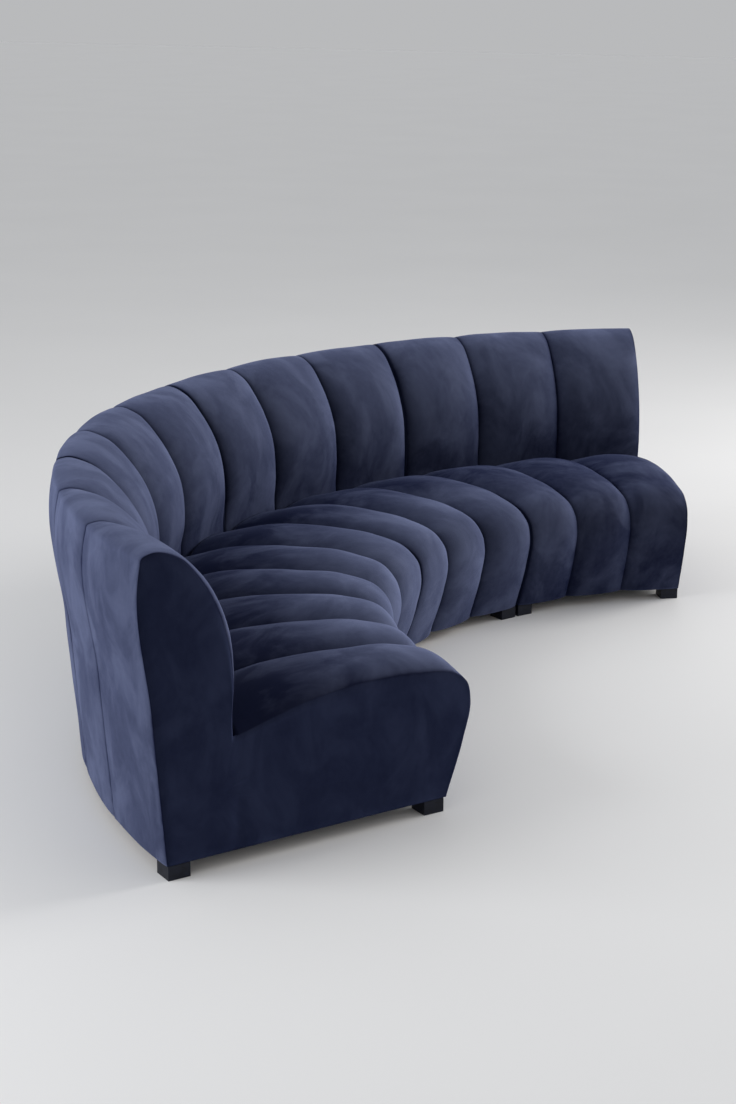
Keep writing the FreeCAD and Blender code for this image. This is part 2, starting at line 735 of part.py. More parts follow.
def screw(title, where, kind, shank):
    """A pan-headed screw that points up, with its head's underside seat at the placement."""
    head = primitive("Part::Cylinder", title + "Head", {
        "Radius": f"Sizes.{kind}_head_radius", "Height": f"Sizes.{kind}_head_height"},
        where * lifted(0, 0, -size[f"{kind}_head_height"]))
    rod = primitive("Part::Cylinder", title + "Shank", {
        "Radius": f"Sizes.{kind}_radius", "Height": shank}, where)
    whole = doc.addObject("Part::Fuse", title)
    whole.Base = head
    whole.Tool = rod
    return whole


# Connectors: the section that lifts carries plates with pins that drop into the other's eye plates

def joints_of(section):
    """Each joint face of a section, as its side, the joint's angle and whether pins are here."""
    faces = []
    if section > 1:
        angle = section_angle(section) + place("half_angle")
        faces.append((1, angle, section > 2))
    if section < len(SECTIONS):
        angle = section_angle(section) - place("half_angle")
        faces.append((-1, angle, section < 2))
    return faces


def joint_place(angle, radius, pins_side):
    """A placement on a joint's plane whose +X points into the section that lifts."""
    where = turned(angle, centre_shift) * lifted(0, radius, 0)
    if pins_side < 0:
        where = where * Placement(Vector(), Rotation(UP, 180))
    return where


def screw_reach(radius):
    """How far from the joint's plane a frame's middle is, at a radius."""
    turn = size["frame_inset_angle"] + size["section_gap_angle"]
    return radius * math.sin(math.radians(turn))


def plate_screws(tag, where, reach, side):
    """The two screws of a connector plate, up into the frame above it."""
    bottom = size["foot_height"] - size["connector_plate_thickness"]
    shank = ("Sizes.connector_plate_thickness + Sizes.under_cover_thickness"
             " + Sizes.connector_screw_bite - Sizes.screw_end_clearance")
    spots = [lifted(side * reach, end * size["connector_screw_spacing"] / 2, bottom)
             for end in (-1, 1)]
    return [screw(f"PlateScrew{tag}x{i}", where * spot, "connector_screw", shank)
            for i, spot in enumerate(spots)]


def pin_plate(tag, where, reach):
    """A flat plate under the frame, with a pin that points down."""
    body = new_body(f"PinPlate{tag}")
    sketch = new_sketch(body, "XZ_Plane")
    near = "Sizes.connector_step"
    far = "(Sizes.connector_pin_reach + Sizes.connector_edge_margin)"
    low = "(Sizes.foot_height - Sizes.connector_plate_thickness)"
    add_polygon(sketch, [(near, low), (far, low), (far, "Sizes.foot_height"),
                         (near, "Sizes.foot_height")])
    pad = body.newObject("PartDesign::Pad", f"PinPad{tag}")
    pad.Profile = sketch
    pad.Midplane = True
    pad.setExpression("Length", "Sizes.connector_width")
    peg_plan = new_sketch(body, "XY_Plane")
    peg_plan.AttachmentOffset = lifted(0, 0, size["foot_height"] - size["connector_plate_thickness"] / 2)
    add_circle(peg_plan, "Sizes.connector_pin_reach", "0", "Sizes.connector_pin_radius")
    peg = body.newObject("PartDesign::Pad", f"Pin{tag}")
    peg.Profile = peg_plan
    peg.Reversed = True
    peg.setExpression("Length",
                      "Sizes.connector_pin_length + Sizes.connector_plate_thickness / 2")
    bored_for_screws(body, tag, str(reach))
    body.Placement = where
    return body


def bored_for_screws(body, tag, reach):
    """The two screw holes of a connector plate."""
    bore = "Sizes.connector_screw_radius + Sizes.screw_clearance"
    holes = [(reach, f"{end} * Sizes.connector_screw_spacing / 2", bore) for end in ("-1", "1")]
    drilled(body, f"ScrewHoles{tag}", holes, BASE)


def eye_plate(tag, where, reach):
    """A stepped plate that reaches under the neighbour, with the eye for its pin."""
    body = new_body(f"EyePlate{tag}")
    sketch = new_sketch(body, "XZ_Plane")
    thick = "Sizes.connector_plate_thickness"
    top = "Sizes.foot_height"
    low = "(Sizes.foot_height - Sizes.connector_step)"
    step = "(Sizes.connector_step / 2)"
    far = "(Sizes.connector_pin_reach + Sizes.connector_edge_margin)"
    near = f"-({reach} + Sizes.connector_edge_margin)"
    add_polygon(sketch, [
        (near, top), (near, f"{top} - {thick}"), (f"-{step}", f"{top} - {thick}"),
        (step, f"{low} - {thick}"), (far, f"{low} - {thick}"), (far, low), (step, low),
        (f"-{step}", top)])
    pad = body.newObject("PartDesign::Pad", f"EyePad{tag}")
    pad.Profile = sketch
    pad.Midplane = True
    pad.setExpression("Length", "Sizes.connector_width")
    drilled(body, f"Eye{tag}", [("Sizes.connector_pin_reach", "0",
            "Sizes.connector_pin_radius + Sizes.connector_pin_clearance")], BASE)
    bored_for_screws(body, tag, f"-{reach}")
    body.Placement = where
    return body


def fasteners(section):
    """The connectors of a section and every screw in it."""
    plates = []
    screws = []
    for number, where in enumerate(foot_places(section)):
        rise = size["foot_screw_recess"] + size["foot_screw_head_height"]
        shank = ("Layout.base_height + Sizes.foot_screw_bite - Sizes.screw_end_clearance"
                 " - Sizes.foot_screw_recess - Sizes.foot_screw_head_height")
        screws.append(screw(f"FootScrew{section}x{number}", where * lifted(0, 0, rise),
                            "foot_screw", shank))
    for side, angle, has_pins in joints_of(section):
        # +X of the joint's placement points into the section with the pins
        pins_side = -side if has_pins else side
        for row, radius_name in enumerate(CONNECTOR_ROWS):
            radius = place(radius_name)
            where = joint_place(angle, radius, pins_side)
            reach = screw_reach(radius)
            tag = f"{section}{'L' if side > 0 else 'R'}{row}"
            if has_pins:
                plates.append(pin_plate(tag, where, reach))
            else:
                plates.append(eye_plate(tag, where, reach))
            screws.extend(plate_screws(tag, where, reach, 1 if has_pins else -1))
    compound(section, "connectors", plates)
    compound(section, "screws", screws)


SWEPT_PIECES = {
    "front_rail": front_rail,
    "rear_rail": rear_rail,
    "seat_rail": seat_rail,
    "top_rail": top_rail,
    "seat_foam": seat_foam,
    "under_cover": under_cover,
    "back_webbing": back_webbing,
}

for section in SECTIONS:
    add_shape(section, "seat_channels", seat_channel_shape)
    add_shape(section, "back_channels", back_channel_shape)
    add_shape(section, "end_panels", end_panel_shape)
    for name, make in SWEPT_PIECES.items():
        body = make(section)
        body.Placement = section_place(section)
        keep(body, section, name)
    compound(section, "frames", [frame(section, i) for i in range(CHANNELS + 1)])
    seat_webbing(section)
    feet(section)
    fasteners(section)

doc.recompute()

failed = [f"{obj.Label}: {obj.State}" for obj in doc.Objects
          if "Invalid" in obj.State or "Error" in obj.State]
for label, obj in subparts.items():
    if obj.Shape.isNull() or not obj.Shape.isValid() or not obj.Shape.Solids:
        failed.append(f"{label}: no valid solid")
if failed:
    raise RuntimeError("; ".join(failed))

for label, obj in subparts.items():
    obj.Shape.exportStep(os.path.join("parts", label + ".step"))
print(f"{len(subparts)} sub-parts, centre of the arc at y = {centre_shift:.2f} mm")
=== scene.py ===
import math

import bmesh
import bpy
import numpy as np
from mathutils import Matrix, Vector


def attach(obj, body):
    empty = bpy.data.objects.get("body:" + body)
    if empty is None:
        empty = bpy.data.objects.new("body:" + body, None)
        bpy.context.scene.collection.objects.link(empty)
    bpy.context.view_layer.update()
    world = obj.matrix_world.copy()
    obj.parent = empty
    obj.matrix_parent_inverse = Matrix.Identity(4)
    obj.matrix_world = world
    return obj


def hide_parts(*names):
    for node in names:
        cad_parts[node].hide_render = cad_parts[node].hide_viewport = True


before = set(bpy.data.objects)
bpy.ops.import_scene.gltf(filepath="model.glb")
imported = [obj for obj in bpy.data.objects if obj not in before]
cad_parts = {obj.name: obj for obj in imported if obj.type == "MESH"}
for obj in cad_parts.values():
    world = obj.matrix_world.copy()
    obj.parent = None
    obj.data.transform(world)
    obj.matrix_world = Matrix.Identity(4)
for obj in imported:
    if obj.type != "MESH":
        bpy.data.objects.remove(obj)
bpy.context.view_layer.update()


# Seat channels
# Each section has three stuffed velvet channels. One length of cloth runs from a hem under the front
# rail up the front, over the nose and back to the crease, and is sewn down between the channels.

ARC_CENTRE_Y = -1.45752
CHANNEL_TURN = math.radians(9.709)
JOINT_GAP_TURN = math.radians(0.06)
PANEL_THICKNESS = 0.005
SECTIONS = (1, 2, 3, 4)
CHANNELS = 3
HALF_TURN = CHANNELS * CHANNEL_TURN / 2
END_TURN = HALF_TURN - JOINT_GAP_TURN
HEM_HEIGHT = 0.0415
HEM_TURN_LENGTH = 0.05

# Crown line of a seat channel from its hem to the crease: radius from the arc's centre, height, and
# how deep the seams between channels and the seam of the end panel lie inside it
SEAT_CROWN = np.array([
    (1.319, HEM_HEIGHT, 0.027, 0.008), (1.265, 0.203, 0.032, 0.007), (1.247, 0.313, 0.036, 0.003),
    (1.258, 0.368, 0.040, 0.005), (1.294, 0.416, 0.044, 0.021), (1.415, 0.459, 0.047, 0.041),
    (1.547, 0.467, 0.044, 0.040), (1.798, 0.452, 0.034, 0.047), (1.990, 0.397, 0.026, 0.041)])
SEAT_INSIDE = np.array([(1.990, 0.296), (1.645, 0.308), (1.300, 0.320), (1.355, HEM_HEIGHT)])
SEAT_ROUNDNESS = 0.86
STEPS_PER_CHANNEL = 34


def smooth_line(points, count):
    """Points evenly spaced along a smooth line through the given ones: a cubic between each pair,
    whose slope at a point is the distance-weighted mean of the slopes on its two sides."""
    steps = np.linalg.norm(np.diff(points[:, :2], axis=0), axis=1)
    at = np.concatenate([[0.0], np.cumsum(steps)])
    slopes = np.diff(points, axis=0) / steps[:, None]
    inner = (slopes[:-1] * steps[1:, None] + slopes[1:] * steps[:-1, None]) / (
        steps[:-1] + steps[1:])[:, None]
    slope = np.vstack([slopes[:1], inner, slopes[-1:]])
    fine = np.linspace(0, at[-1], 4000)
    k = np.clip(np.searchsorted(at, fine, side="right") - 1, 0, len(steps) - 1)
    t = ((fine - at[k]) / steps[k])[:, None]
    h = steps[k][:, None]
    line = (points[k] * (2 * t**3 - 3 * t**2 + 1) + slope[k] * h * (t**3 - 2 * t**2 + t)
            + points[k + 1] * (3 * t**2 - 2 * t**3) + slope[k + 1] * h * (t**3 - t**2))
    run = np.concatenate([[0.0], np.cumsum(np.linalg.norm(np.diff(line[:, :2], axis=0), axis=1))])
    even = np.linspace(0, run[-1], count)
    return np.stack([np.interp(even, run, line[:, i]) for i in range(line.shape[1])], axis=1), even


def outward(line, run, ends):
    """The direction square to a line at each point. Close to an end it turns towards the direction
    given for that end, so that a hem stays level."""
    along = np.gradient(line[:, :2], axis=0)
    along /= np.linalg.norm(along, axis=1)[:, None]
    normal = np.stack([-along[:, 1], along[:, 0]], axis=1)
    for distance, end in ((run, ends[0]), (run[-1] - run, ends[1])):
        near = np.clip(1 - distance / HEM_TURN_LENGTH, 0, 1)[:, None] ** 2
        normal = normal * (1 - near) + np.array(end) * near
    return normal / np.linalg.norm(normal, axis=1)[:, None]


def across_section():
    """Places across a section: the angle, the share of the way across its channel, the sideways
    offset that keeps the outer seams on the end panels, and the channel's number. The steps crowd
    towards the seams by a cosine."""
    t = (1 - np.cos(np.linspace(0, math.pi, STEPS_PER_CHANNEL + 1))) / 2
    share = np.concatenate([t[:-1]] * (CHANNELS - 1) + [t])
    number = np.concatenate([np.full(STEPS_PER_CHANNEL, i) for i in range(CHANNELS - 1)]
                            + [np.full(STEPS_PER_CHANNEL + 1, CHANNELS - 1)])
    whole = (number + share) / CHANNELS
    near_end = np.clip(1 - np.minimum(whole, 1 - whole) * CHANNELS / 0.15, 0, 1)
    side = np.sign(whole - 0.5)
    turn = (2 * whole - 1) * HALF_TURN - side * near_end * JOINT_GAP_TURN
    return turn, share, -side * near_end * PANEL_THICKNESS, number


def waves(a, b, seed, scales):
    """A soft unevenness over two lengths: the sum of sine waves of random heading and phase."""
    rng = np.random.default_rng(seed)
    total = 0.0
    for wavelength, height in scales:
        heading = rng.uniform(0, 2 * math.pi, 3)
        phase = rng.uniform(0, 2 * math.pi, 3)
        for angle, start in zip(heading, phase):
            along = a * math.cos(angle) + b * math.sin(angle)
            total = total + height / 3 * np.sin(2 * math.pi * along / wavelength + start)
    return total


def outer_seam_depth(line, section, side):
    """Depth of the seam at one end of a section. At the sofa's own ends it is the end panel's seam;
    at a joint the two sections' edges round off half way to the depth of an inner seam."""
    at_sofa_end = (section == SECTIONS[0] and side > 0) or (section == SECTIONS[-1] and side < 0)
    return line[:, 3] if at_sofa_end else (line[:, 2] + line[:, 3]) / 2


def section_turn(section):
    """The angle of a section's middle from the sofa's middle, towards +X."""
    return (len(SECTIONS) + 1 - 2 * section) * HALF_TURN


def channel_grid(crown, ends, inside, roundness, seed, section, count):
    """The closed cloth of a section's channels: round the outline one way, across the seams the
    other. A point lies inside the crown line by the depth of the seam on its side of the channel
    times 1 - (1 - |2 share - 1|^2.3)^roundness, with soft waves over each channel and small puckers
    that run out of the seams near the hems."""
    line, run = smooth_line(crown, count)
    normal = outward(line, run, ends)
    turn, share, offset, number = across_section()
    arch = np.clip(1 - np.abs(2 * share - 1) ** 2.3, 0, 1) ** roundness
    depth = np.broadcast_to(line[:, 2], (len(turn), len(run))).copy()
    depth[(number == 0) & (share < 0.5)] = outer_seam_depth(line, section, -1)
    depth[(number == CHANNELS - 1) & (share > 0.5)] = outer_seam_depth(line, section, 1)
    width = (CHANNEL_TURN * line[:, 0])[None, :]
    from_seam = np.minimum(share, 1 - share)[:, None] * width
    place = (number + share)[:, None] * width
    soft = waves(place + 7 * number[:, None], run[None, :], seed, [(0.40, 0.0026), (0.17, 0.0011)])
    near_hem = np.exp(-np.minimum(run, run[-1] - run) / 0.07)[None, :]
    pucker = np.exp(-from_seam / 0.022) * (1 - np.exp(-from_seam / 0.005))
    pucker = pucker * (0.25 + near_hem) * waves(
        run[None, :] + 3 * number[:, None], place * 0.3, seed + 50, [(0.052, 0.0022), (0.031, 0.0014)])
    out = soft * arch[:, None] + pucker - depth * (1 - arch)[:, None]
    radius = line[:, 0][None, :] + normal[:, 0][None, :] * out
    height = line[:, 1][None, :] + normal[:, 1][None, :] * out
    many = np.ones((len(turn), 1))
    radius = np.hstack([radius, many * inside[:, 0]])
    height = np.hstack([height, many * inside[:, 1]])
    turn = turn + section_turn(section)
    x = radius * np.sin(turn)[:, None] + (offset * np.cos(turn))[:, None]
    y = radius * np.cos(turn)[:, None] - (offset * np.sin(turn))[:, None] + ARC_CENTRE_Y
    cloth_u = np.hstack([place, many * place[:, -1:] * np.ones((1, len(inside)))])
    cloth_v = np.concatenate([run, run[-1] + 0.1 * np.arange(1, len(inside) + 1)])
    cloth = np.stack([cloth_u + 1.3 * section, np.broadcast_to(cloth_v, cloth_u.shape)], axis=2)
    # Painted shade: near 1 at the seams and falling off within a few millimetres, to paint the     cloth darker in the seam grooves
    seam = np.exp(-np.hstack([from_seam, many * np.zeros((1, len(inside)))]) / 0.006)
    return np.stack([x, y, height], axis=2), cloth, seam, cloth_v


def closed_mesh(name, grid, cloth, lay_and_shade_per_point):
    """A mesh from a grid whose rows close on themselves, with its cloth coordinates and, per
    point, the pile's lay with painted shade. A face fills its first row and another its last."""
    rows, columns = grid.shape[:2]
    index = np.arange(rows * columns).reshape(rows, columns)
    after = np.roll(index, -1, axis=1)
    quads = np.stack([index[:-1], after[:-1], after[1:], index[1:]], axis=2)
    faces = quads.reshape(-1, 4)[:, ::-1].tolist()
    faces += [index[0].tolist(), index[-1][::-1].tolist()]
    mesh = bpy.data.meshes.new(name)
    mesh.from_pydata(grid.reshape(-1, 3).tolist(), [], faces)
    layer = mesh.uv_layers.new(name="cloth")
    corner = np.zeros(len(mesh.loops), np.int32)
    mesh.loops.foreach_get("vertex_index", corner)
    layer.data.foreach_set("uv", cloth.reshape(-1, 2)[corner].astype(np.float32).ravel())
    # The pile attribute carries the pile's lay together with painted shade
    pile = mesh.attributes.new("pile", "FLOAT", "POINT")
    pile.data.foreach_set("value", lay_and_shade_per_point.astype(np.float32).ravel())
    mesh.polygons.foreach_set("use_smooth", np.ones(len(mesh.polygons), bool))
    piece = bpy.data.objects.new(name, mesh)
    bpy.context.scene.collection.objects.link(piece)
    return piece


def new_material(name):
    """A material and its Principled shader."""
    material = bpy.data.materials.new(name)
    material.use_nodes = True
    tree = material.node_tree
    shader = next(n for n in tree.nodes if n.type == "BSDF_PRINCIPLED")
    return material, tree, shader


def add(tree, kind, links=None, **values):
    """A node with its properties set, and its inputs fed from sockets or set to values."""
    node = tree.nodes.new(kind)
    for key, value in values.items():
        setattr(node, key, value)
    for key, value in (links or {}).items():
        if isinstance(value, bpy.types.NodeSocket):
            tree.links.new(value, node.inputs[key])
        else:
            node.inputs[key].default_value = value
    return node


def socketed_group(name, inputs, outputs):
    """An empty shader node group with its sockets, and its input and output nodes."""
    group = bpy.data.node_groups.new(name, "ShaderNodeTree")
    for label, kind, value in inputs:
        made = group.interface.new_socket(label, in_out="INPUT", socket_type=kind)
        if value is not None:
            made.default_value = value
    for label, kind in outputs:
        group.interface.new_socket(label, in_out="OUTPUT", socket_type=kind)
    return group, group.nodes.new("NodeGroupInput"), group.nodes.new("NodeGroupOutput")


def pile_group():
    """Velvet pile: broad marks where hands have brushed it, drawn out along the channels, finer
    mottling inside them, and the grain of the cut pile. Gives colour, roughness and height."""
    group, start, end = socketed_group(
        "velvet_pile",
        [("Cloth", "NodeSocketVector", None), ("Lay_and_shade", "NodeSocketFloat", 0.5),
         ("Laid", "NodeSocketColor", (0.005, 0.007, 0.022, 1)),
         ("Raised", "NodeSocketColor", (0.045, 0.052, 0.085, 1)),
         ("Brushing", "NodeSocketFloat", 0.5)],
        [("Color", "NodeSocketColor"), ("Roughness", "NodeSocketFloat"),
         ("Height", "NodeSocketFloat")])
    drawn = add(group, "ShaderNodeMapping", {"Vector": start.outputs["Cloth"], "Scale": (1, 0.6, 1)})
    broad = add(group, "ShaderNodeTexNoise", {
        "Vector": drawn.outputs[0], "Scale": 7.0, "Detail": 4.0, "Roughness": 0.6,
        "Distortion": 0.5})
    fine = add(group, "ShaderNodeTexNoise", {
        "Vector": drawn.outputs[0], "Scale": 42.0, "Detail": 4.0, "Roughness": 0.65})
    grain = add(group, "ShaderNodeTexNoise", {
        "Vector": start.outputs["Cloth"], "Scale": 800.0, "Detail": 2.0, "Roughness": 0.7})
    marks = add(group, "ShaderNodeMapRange", {
        "Value": broad.outputs["Fac"], "From Min": 0.40, "From Max": 0.66, "To Min": -0.5,
        "To Max": 0.5}, interpolation_type="SMOOTHSTEP")
    mottle = add(group, "ShaderNodeMapRange", {
        "Value": fine.outputs["Fac"], "From Min": 0.3, "From Max": 0.7, "To Min": 0.35,
        "To Max": 1.0})
    both = add(group, "ShaderNodeMath", {0: marks.outputs[0], 1: mottle.outputs[0]},
               operation="MULTIPLY")
    # The lay input carries painted shade from the mesh along with the pile's lay; it sets the     base share between the laid and raised tones.
    share = add(group, "ShaderNodeMath", {0: both.outputs[0], 1: start.outputs["Brushing"],
                                          2: start.outputs["Lay_and_shade"]}, operation="MULTIPLY_ADD")
    speck = add(group, "ShaderNodeMath", {0: grain.outputs["Fac"], 1: 0.20, 2: -0.10},
                operation="MULTIPLY_ADD")
    raised = add(group, "ShaderNodeMath", {0: share.outputs[0], 1: speck.outputs[0]},
                 operation="ADD", use_clamp=True)
    colour = add(group, "ShaderNodeMix", {"Factor": raised.outputs[0]}, data_type="RGBA")
    group.links.new(start.outputs["Laid"], colour.inputs[6])
    group.links.new(start.outputs["Raised"], colour.inputs[7])
    rough = add(group, "ShaderNodeMath", {0: marks.outputs[0], 1: -0.10, 2: 0.85},
                operation="MULTIPLY_ADD")
    relief = add(group, "ShaderNodeMath", {0: fine.outputs["Fac"], 1: 0.5, 2: grain.outputs["Fac"]},
                 operation="MULTIPLY_ADD")
    group.links.new(colour.outputs[2], end.inputs["Color"])
    group.links.new(rough.outputs[0], end.inputs["Roughness"])
    group.links.new(relief.outputs[0], end.inputs["Height"])
    return group


PILE = pile_group()


def velvet(name, laid, raised, brushing):
    """Midnight-blue velvet. Its colour is painted darker where it faces the camera and paler
    where it turns away, a painted sheen.
    """
    material, tree, shader = new_material(name)
    cloth = add(tree, "ShaderNodeUVMap", uv_map="cloth")
    lay_and_painted_shade = add(tree, "ShaderNodeAttribute", attribute_name="pile")
    pile = add(tree, "ShaderNodeGroup", node_tree=PILE)
    tree.links.new(cloth.outputs[0], pile.inputs["Cloth"])
    tree.links.new(lay_and_painted_shade.outputs["Fac"], pile.inputs["Lay_and_shade"])
    pile.inputs["Laid"].default_value = (*laid, 1)
    pile.inputs["Raised"].default_value = (*raised, 1)
    pile.inputs["Brushing"].default_value = brushing
    bump = add(tree, "ShaderNodeBump", {"Height": pile.outputs["Height"], "Strength": 0.30,
                                        "Distance": 0.001})
    # Painted sheen: the base colour is scaled by the Layer Weight facing value, darker where the     surface faces the camera and paler where it turns away from it.
    slant = add(tree, "ShaderNodeLayerWeight", {"Blend": 0.5, "Normal": bump.outputs[0]})
    painted_sheen_gain = add(tree, "ShaderNodeMath", {0: slant.outputs["Facing"], 1: 2.0, 2: 0.70},
               operation="MULTIPLY_ADD")
    shown = add(tree, "ShaderNodeVectorMath", {0: pile.outputs["Color"], "Scale": painted_sheen_gain.outputs[0]},
                operation="SCALE")
    tree.links.new(shown.outputs[0], shader.inputs["Base Color"])
    tree.links.new(pile.outputs["Roughness"], shader.inputs["Roughness"])
    tree.links.new(bump.outputs[0], shader.inputs["Normal"])
    shader.inputs["Specular IOR Level"].default_value = 0.08
    shader.inputs["Sheen Weight"].default_value = 0.10
    shader.inputs["Sheen Roughness"].default_value = 0.30
    shader.inputs["Sheen Tint"].default_value = (0.40, 0.48, 0.80, 1)
    return material


VELVET = velvet("midnight_velvet", (0.0040, 0.0060, 0.0210), (0.100, 0.117, 0.195), 0.24)
HEMS = ((-1.0, 0.0), (0.0, 1.0))


def smoothstep(low, high, value):
    """0 below low, 1 above high, and an even S between them."""
    t = np.clip((value - low) / (high - low), 0, 1)
    return t * t * (3 - 2 * t)


for section in SECTIONS:
    grid, cloth, seam, along = channel_grid(SEAT_CROWN, HEMS, SEAT_INSIDE, SEAT_ROUNDNESS,
                                            100 + section, section, 150)
    # Painted shade: the seat cloth is painted darkest towards the crease under the back, darker
    #     low on the front towards the hem, and palest over the nose
    lay_and_painted_shade = 0.01 + 0.45 * smoothstep(0.98, 0.42, along) - 0.20 * smoothstep(0.30, 0.0, along)
    # Painted shade: round the arc towards +X the seat cloth is painted darker
    around = np.arctan2(grid[..., 0], grid[..., 1] - ARC_CENTRE_Y)
    lay_and_painted_shade = lay_and_painted_shade[None, :] * (1 - 0.62 * smoothstep(0.10, 0.85, around))
    # The seat's colour is also painted darker in the seam grooves, a painted shade
    seat = closed_mesh(f"section_{section}_seat", grid, cloth, lay_and_painted_shade * (1 - 0.9 * seam))
    seat.data.materials.append(VELVET)
    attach(seat, f"section_{section}")
    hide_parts(f"section_{section}_seat_channels")


# Back channels
# The same three channels go on up the back. One length of cloth runs from the tuck behind the seat
# up the face, over the top and down the rear, where it lies almost flat, to a hem at the bottom.

BACK_CROWN = np.array([
    (1.998, 0.300, 0.012, 0.000), (1.994, 0.400, 0.028, 0.009), (1.971, 0.503, 0.050, 0.029),
    (1.980, 0.650, 0.058, 0.041), (2.055, 0.792, 0.050, 0.032), (2.149, 0.866, 0.027, 0.014),
    (2.228, 0.872, 0.008, 0.001), (2.251, 0.862, 0.006, 0.001), (2.256, 0.841, 0.005, 0.001),
    (2.231, 0.441, 0.005, 0.001), (2.197, HEM_HEIGHT, 0.003, 0.001)])
BACK_INSIDE = np.array([(2.172, HEM_HEIGHT), (2.2035, 0.42), (2.235, 0.800), (2.165, 0.800),
                        (2.087, 0.520), (2.075, 0.300)])
BACK_ROUNDNESS = 0.60
BACK_HEMS = ((-1.0, 0.0), (1.0, 0.0))

for section in SECTIONS:
    grid, cloth, seam, along = channel_grid(BACK_CROWN, BACK_HEMS, BACK_INSIDE, BACK_ROUNDNESS,
                                            200 + section, section, 230)
    # Painted shade: the back's cloth is painted darker low on its face, where it tucks in behind     the seat, darker again from the top down the rear, and darker in the seam grooves
    lay_and_painted_shade = 0.14 + 0.24 * smoothstep(0.06, 0.45, along) - 0.09 * smoothstep(0.70, 0.85, along)
    back = closed_mesh(f"section_{section}_back", grid, cloth + np.array([9.1, 1.7]),
                       lay_and_painted_shade[None, :] * (1 - 0.95 * seam))
    back.data.materials.append(VELVET)
    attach(back, f"section_{section}")
    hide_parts(f"section_{section}_back_channels")


# End panels
# A flat velvet panel closes each end of a section. It is sewn to the outer channels along the whole
# outline of seat and back over a thin pad, and creases softly below the join of seat and back.

PANEL_HEART = np.array([2.04, 0.21])
PANEL_RINGS = 30
LAST_RING_SHARE = 0.99
JOIN_HEIGHT = 0.352
CREASE_RADIUS = 1.988
CREASE_WIDTH = 0.016
CREASE_TOP = 0.37
CREASE_DEPTH = 0.0038


def panel_outline(section, side):
    """The seam line of the panel: hem to crease along the seat, then up over the back and down to
    its hem, then along the hem to the front."""
    parts = []
    for crown, ends, count in ((SEAT_CROWN, HEMS, 170), (BACK_CROWN, BACK_HEMS, 260)):
        line, run = smooth_line(crown, count)
        normal = outward(line, run, ends)
        depth = outer_seam_depth(line, section, side)[:, None]
        parts.append(line[:, :2] - normal * depth)
    seat_part, back_part = parts
    back_part = back_part[np.argmax(back_part[:, 1] > JOIN_HEIGHT):]
    hem = np.linspace(back_part[-1], seat_part[0], 90)[1:-1]
    return np.vstack([seat_part, back_part, hem])


def panel_grid(section, side):
    """Rings that shrink from the seam line to just short of one point, pillowed outwards between
    them by 1 - (1 - 7 share)^2.2, with a soft vertical crease exp(-(distance / width)^2). The first
    ring lies flat behind the seam."""
    edge = panel_outline(section, side)
    share = np.linspace(0, 1, PANEL_RINGS) ** 1.5 * LAST_RING_SHARE
    ring = edge[None, :, :] * (1 - share)[:, None, None] + PANEL_HEART * share[:, None, None]
    depth = PANEL_THICKNESS * (1 - (1 - np.clip(share * 7, 0, 1)) ** 2.2)
    crease = np.exp(-((ring[..., 0] - CREASE_RADIUS) / CREASE_WIDTH) ** 2)
    crease = crease * np.clip(1 - ring[..., 1] / CREASE_TOP, 0, 1) ** 0.6
    soft = waves(ring[..., 0], ring[..., 1], 300 + section, [(0.5, 0.0012), (0.21, 0.0005)])
    out = depth[:, None] * 0.8 - CREASE_DEPTH * crease + soft * np.clip(share * 5, 0, 1)[:, None]
    out = np.clip(out, 0, PANEL_THICKNESS)
    ring = np.concatenate([edge[None], ring], axis=0)
    out = np.concatenate([np.zeros((1, len(edge))) - 0.002, out], axis=0)
    angle = section_turn(section) + side * END_TURN
    offset = side * (out - PANEL_THICKNESS)
    x = ring[..., 0] * math.sin(angle) + offset * math.cos(angle)
    y = ring[..., 0] * math.cos(angle) - offset * math.sin(angle) + ARC_CENTRE_Y
    from_edge = np.concatenate([[0, 0], np.cumsum(np.diff(share))]) * 0.5
    # Painted shade: the panel's colour is painted darker close to its seam with the channels
    lay_and_painted_shade = 0.20 * np.ones(ring.shape[:2]) * (1 - 0.75 * np.exp(-from_edge / 0.006))[:, None]
    return np.stack([x, y, ring[..., 1]], axis=2), ring + np.array([25 + section, 2.9 * side]), lay_and_painted_shade


# Painted shade: the end panels take a darker copy of the velvet, the same cloth in darker tones
SHADED_PANEL_VELVET = velvet("panel_velvet_painted_shade", (0.0030, 0.0050, 0.0190), (0.042, 0.054, 0.110), 0.20)

for section in SECTIONS:
    for side, word in ((1, "left"), (-1, "right")):
        grid, cloth, lay_and_painted_shade = panel_grid(section, side)
        if side > 0:
            grid, cloth, lay_and_painted_shade = grid[:, ::-1], cloth[:, ::-1], lay_and_painted_shade[:, ::-1]
        panel = closed_mesh(f"section_{section}_{word}_end", grid, cloth, lay_and_painted_shade)
        panel.data.materials.append(SHADED_PANEL_VELVET)
        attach(panel, f"section_{section}")
        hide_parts(f"section_{section}_end_panels")


# Feet
# Four square hardwood blocks carry each section, stained nearly black and lacquered. Their edges
# are eased, and a counterbored hole in each underside takes the screw that holds it.

